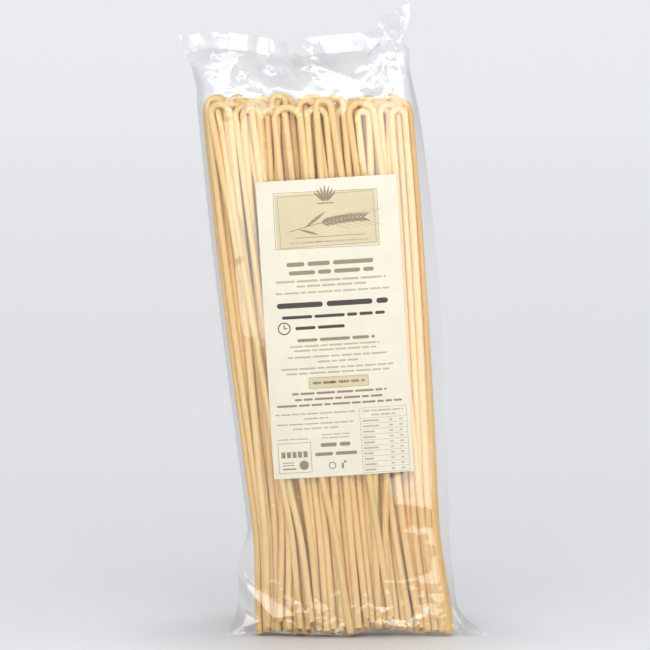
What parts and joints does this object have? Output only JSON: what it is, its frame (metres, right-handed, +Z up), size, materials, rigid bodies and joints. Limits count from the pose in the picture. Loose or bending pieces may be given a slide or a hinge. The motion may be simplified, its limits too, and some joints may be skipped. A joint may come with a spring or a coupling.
{
  "type": "bagged bundle of dry spaghetti",
  "caption": "Clear sealed film bag full of dry hairpin spaghetti strands, standing on its foot, with a paper label on its front.",
  "frame": {"origin": "on the floor under the middle of the whole pack's box", "axes": "+Z up along the strands, +X to the pack's right as seen from the front, -Y out of the labelled front"},
  "size_m": [0.1558, 0.0318, 0.3175],
  "materials": {
    "pasta": "matt, floury",
    "film": "clear, glossy",
    "paper": "matt",
    "print": "matt ink"
  },
  "bodies": {
    "root": {"filled_bag": "pasta", "label": "paper"}
  },
  "joints": []
}
